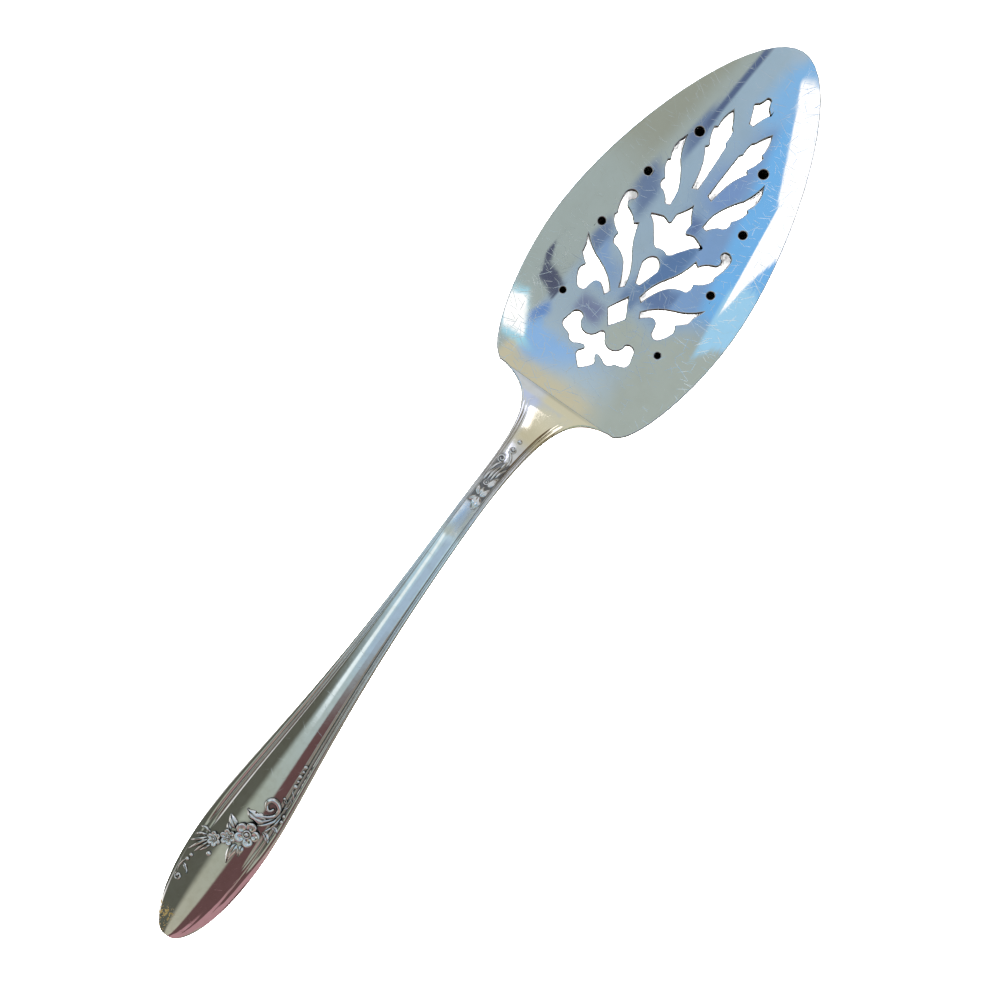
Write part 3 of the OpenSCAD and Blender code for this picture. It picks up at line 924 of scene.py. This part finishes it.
def petal(scale, wide, turn):
    """One cupped petal: a ball hollowed on top, flattened, tilted, moved out and turned."""
    bpy.ops.mesh.primitive_uv_sphere_add(radius=1.0, **PETAL_STEPS)
    piece = bpy.context.object
    for point in piece.data.vertices:
        away = (point.co.x - HOLLOW_AT) ** 2 + point.co.y ** 2
        if point.co.z > 0:
            point.co.z -= HOLLOW_DEEP * math.exp(-away / HOLLOW_WIDE)
    piece.scale = (PETAL_LONG * scale, PETAL_WIDE * scale * wide, PETAL_THICK * scale)
    piece.rotation_euler = (0.0, PETAL_TILT, 0.0)
    bpy.ops.object.transform_apply()
    piece.location = (PETAL_OUT * scale, 0.0, PETAL_UP * scale)
    bpy.ops.object.transform_apply()
    piece.rotation_euler = (0.0, 0.0, turn)
    bpy.ops.object.transform_apply()
    return piece


def blossom(x, y, size, petals, turn):
    """Cupped petals round a ringed boss, modelled flat and then set down on the handle."""
    scale = size * MM
    wide = math.sin(math.pi / petals)
    bpy.ops.object.select_all(action="DESELECT")
    parts = [petal(scale, wide, turn + math.tau * number / petals) for number in range(petals)]
    bpy.ops.mesh.primitive_uv_sphere_add(radius=BOSS * scale, **BALL_STEPS)
    boss = bpy.context.object
    boss.location.z = BOSS_UP * scale
    bpy.ops.object.transform_apply()
    bpy.ops.mesh.primitive_torus_add(
        major_radius=RING * scale, minor_radius=RING_THICK * scale, **RING_STEPS)
    ring = bpy.context.object
    ring.location.z = RING_UP * scale
    bpy.ops.object.transform_apply()
    pick(boss, ring, *parts)
    bpy.ops.object.join()
    set_down(boss, x, y, BLOSSOM_STAND * size)
    return boss


# %% Join the parts of a motif
RELIEF_SMOOTH = math.radians(50)


def gather(name, parts, material=relief_silver):
    """Joins the parts of one motif into one piece and dresses it."""
    pick(*parts)
    bpy.ops.object.join()
    piece = bpy.context.object
    piece.name = piece.data.name = name
    bpy.ops.object.shade_smooth_by_angle(angle=RELIEF_SMOOTH)
    dress(piece, material)
    print(name, "has", len(piece.data.polygons), "faces")


# %% [markdown]
# ## The spray near the handle's end
# Three blossoms grow in size along a slanting stem. Fine fronds and a curled bud lead in from
# the left edge, leaves stand above and below the blossoms, and a scroll with a tendril and a run
# of beads leads out along the right reed. Places and sizes are in mm on the server's plan.

# %% Blossoms of the spray
gather("spray_blossoms", [
    blossom(-101.9, 3.5, 1.75, 6, 0.3),
    blossom(-99.5, 1.1, 1.9, 6, 0.0),
    blossom(-96.3, -2.0, 3.0, 5, 0.5)])

# %% Leaves of the spray
gather("spray_leaves", [
    leaf((-96.6, 0.7), (-96.1, 2.4), (-94.7, 3.7), 2.0, 0.6),
    leaf((-98.0, 1.6), (-97.4, 2.6), (-96.6, 2.9), 1.2, 0.5),
    leaf((-91.2, -4.0), (-92.6, -1.2), (-91.4, 1.3), 2.9, 0.7, 2),
    leaf((-99.6, -1.4), (-102.0, -0.9), (-104.7, -1.9), 1.9, 0.45),
    leaf((-99.2, -2.7), (-100.6, -2.6), (-102.0, -3.3), 1.4, 0.4),
    leaf((-94.0, -4.6), (-94.4, -6.0), (-95.8, -7.0), 1.4, 0.4),
    leaf((-92.0, -5.4), (-91.7, -6.6), (-92.5, -7.5), 1.2, 0.35),
    leaf((-85.8, -5.4), (-85.4, -4.9), (-84.5, -4.0), 0.9, 0.45),
    leaf((-111.0, 6.3), (-111.2, 5.2), (-112.4, 4.1), 0.8, 0.4)])

# %% Scrolls and fronds of the spray
gather("spray_scrolls", [
    # The scroll and its fronds on the right
    stroke([(-91.2, -1.4), (-90.8, -2.9), (-89.4, -4.6), (-87.6, -4.7), (-86.5, -3.5),
            (-86.6, -2.2), (-87.8, -1.7), (-88.9, -2.4), (-88.9, -3.3), (-88.1, -3.7)], 1.15, 0.4),
    stroke([(-93.6, -2.6), (-92.0, -4.3), (-90.0, -5.4), (-87.9, -5.5)], 0.75),
    stroke([(-92.6, -1.9), (-91.6, -3.5), (-89.9, -4.9)], 0.65),
    stroke([(-94.3, -4.6), (-92.6, -5.3), (-90.8, -5.9), (-88.8, -6.0)], 0.6),
    # The tendril
    stroke([(-87.3, -5.2), (-86.2, -6.0), (-84.7, -5.9), (-83.9, -5.0)], 0.38),
    stroke([(-84.1, -6.0), (-83.3, -5.7), (-82.6, -5.0), (-82.0, -4.5)], 0.34),
    # The curled bud and its stem
    spiral(-114.2, 5.6, 0.85, 0.45, 60, 1.2, 0.45),
    stroke([(-113.4, 6.3), (-112.2, 6.7), (-110.6, 6.5), (-109.6, 6.1)], 0.4),
    # The fronds on the left
    stroke([(-101.3, 5.2), (-101.2, 6.6), (-101.6, 7.7)], 0.75),
    stroke([(-102.2, 5.4), (-103.0, 6.9), (-103.9, 7.8)], 0.7),
    stroke([(-102.6, 5.0), (-104.2, 6.4), (-105.7, 7.9)], 0.7),
    stroke([(-102.8, 4.6), (-105.0, 5.9), (-107.6, 7.2)], 0.7),
    stroke([(-103.2, 4.2), (-105.2, 5.0), (-107.2, 5.7)], 0.62),
    stroke([(-103.4, 3.5), (-104.6, 3.9), (-106.2, 4.8)], 0.55)])

# %% Beads of the spray
SPRAY_BEADS = (
    (-114.1, 5.8, 0.36), (-109.6, 6.0, 0.5), (-108.3, 5.75, 0.46), (-105.3, 2.6, 0.6),
    (-103.7, 5.6, 0.4), (-88.3, -6.5, 0.48), (-89.6, -6.8, 0.48), (-84.8, -4.3, 0.34),
    (-81.1, -4.7, 0.58), (-79.8, -4.55, 0.38), (-78.6, -4.3, 0.52), (-77.3, -4.3, 0.38),
    (-76.1, -4.1, 0.52))
gather("spray_beads", [bead(*each) for each in SPRAY_BEADS])

# %% [markdown]
# ## The sprig on the neck
# A narrow sprig climbs between the reeds of the neck: a pointed bud, crossed leaves, a small
# ring, a fan of fronds and a scroll, with a ringed bead and a plain one above it. It is made of
# the same leaves and lines as the spray, only lower, because the neck is narrow.

# %% Sprig
gather("neck_sprig", [
    # The bud and the crossed leaves
    leaf((-3.5, -0.2), (-4.8, -0.4), (-6.9, -0.7), 2.1, 0.35),
    leaf((-3.7, 0.2), (-4.4, 0.9), (-5.3, 1.5), 1.1, 0.3),
    leaf((-3.4, -0.5), (-2.4, -0.6), (-0.6, -1.4), 1.2, 0.3),
    leaf((-3.2, 0.2), (-2.4, 1.0), (-0.9, 1.4), 1.1, 0.3),
    leaf((-2.7, 0.0), (-1.8, 0.0), (-0.8, 0.2), 0.8, 0.3),
    leaf((-0.6, -0.6), (0.8, -0.7), (2.6, -1.4), 1.2, 0.3),
    # The ring and the fan
    spiral(0.1, 0.4, 0.6, 0.5, 0, 1.0, 0.35),
    stroke([(0.4, 1.4), (2.0, 1.4), (4.0, 0.8)], 0.6),
    stroke([(0.9, 0.7), (2.8, 0.6), (5.0, 0.1)], 0.6),
    stroke([(0.9, 0.0), (3.0, -0.1), (5.8, -0.8)], 0.6),
    stroke([(2.0, -0.6), (3.4, -0.8), (5.0, -1.5)], 0.55),
    stroke([(3.2, 1.5), (4.8, 1.2), (6.4, 0.2)], 0.55),
    stroke([(4.6, -0.2), (5.8, -0.4), (7.4, -1.2)], 0.5),
    # The scroll and the beads
    spiral(6.7, 1.1, 0.95, 0.3, 200, -1.3, 0.5),
    stroke([(5.6, -0.9), (7.2, -0.9), (8.5, 0.0), (8.8, 1.0)], 0.6),
    spiral(9.7, 0.2, 0.75, 0.65, 0, 1.0, 0.4),
    bead(9.7, 0.2, 0.38), bead(0.1, 0.4, 0.3), bead(12.2, 0.2, 0.6)], sprig_silver)

# %% [markdown]
# ## The braze
# A thin film of solder joins the foot to the blade's tongue. It is hidden by the foot, apart
# from its edge, and is duller than the plate. The CAD node already has its shape, so it only
# gets a material.

# %% Mix the braze
BRAZE_DARK, BRAZE_LIGHT = (0.5, 0.49, 0.45, 1.0), (0.64, 0.63, 0.59, 1.0)
BRAZE_ROUGH, GRAIN_ROUGH, GRAIN_DEPTH = 0.3, 0.2, 0.01
GRAIN_SCALE, GRAIN_SHOW = 2.5, (0.3, 0.75)


def dull_braze(name):
    """Grainy solder, as the torch leaves it."""
    material, metal, place = start_metal(name)
    grain = noise(metal, place, GRAIN_SCALE, FINE_DETAIL).ramp(*GRAIN_SHOW)
    base = grain.blend(BRAZE_DARK, BRAZE_LIGHT)
    close_metal(metal, place, base, grain * GRAIN_ROUGH + BRAZE_ROUGH, grain * GRAIN_DEPTH)
    return material


seam = frame["nodes"]["braze_seam"]
seam.data.materials.clear()
seam.data.materials.append(dull_braze("dull_braze"))
print("braze has", len(seam.data.polygons), "faces")
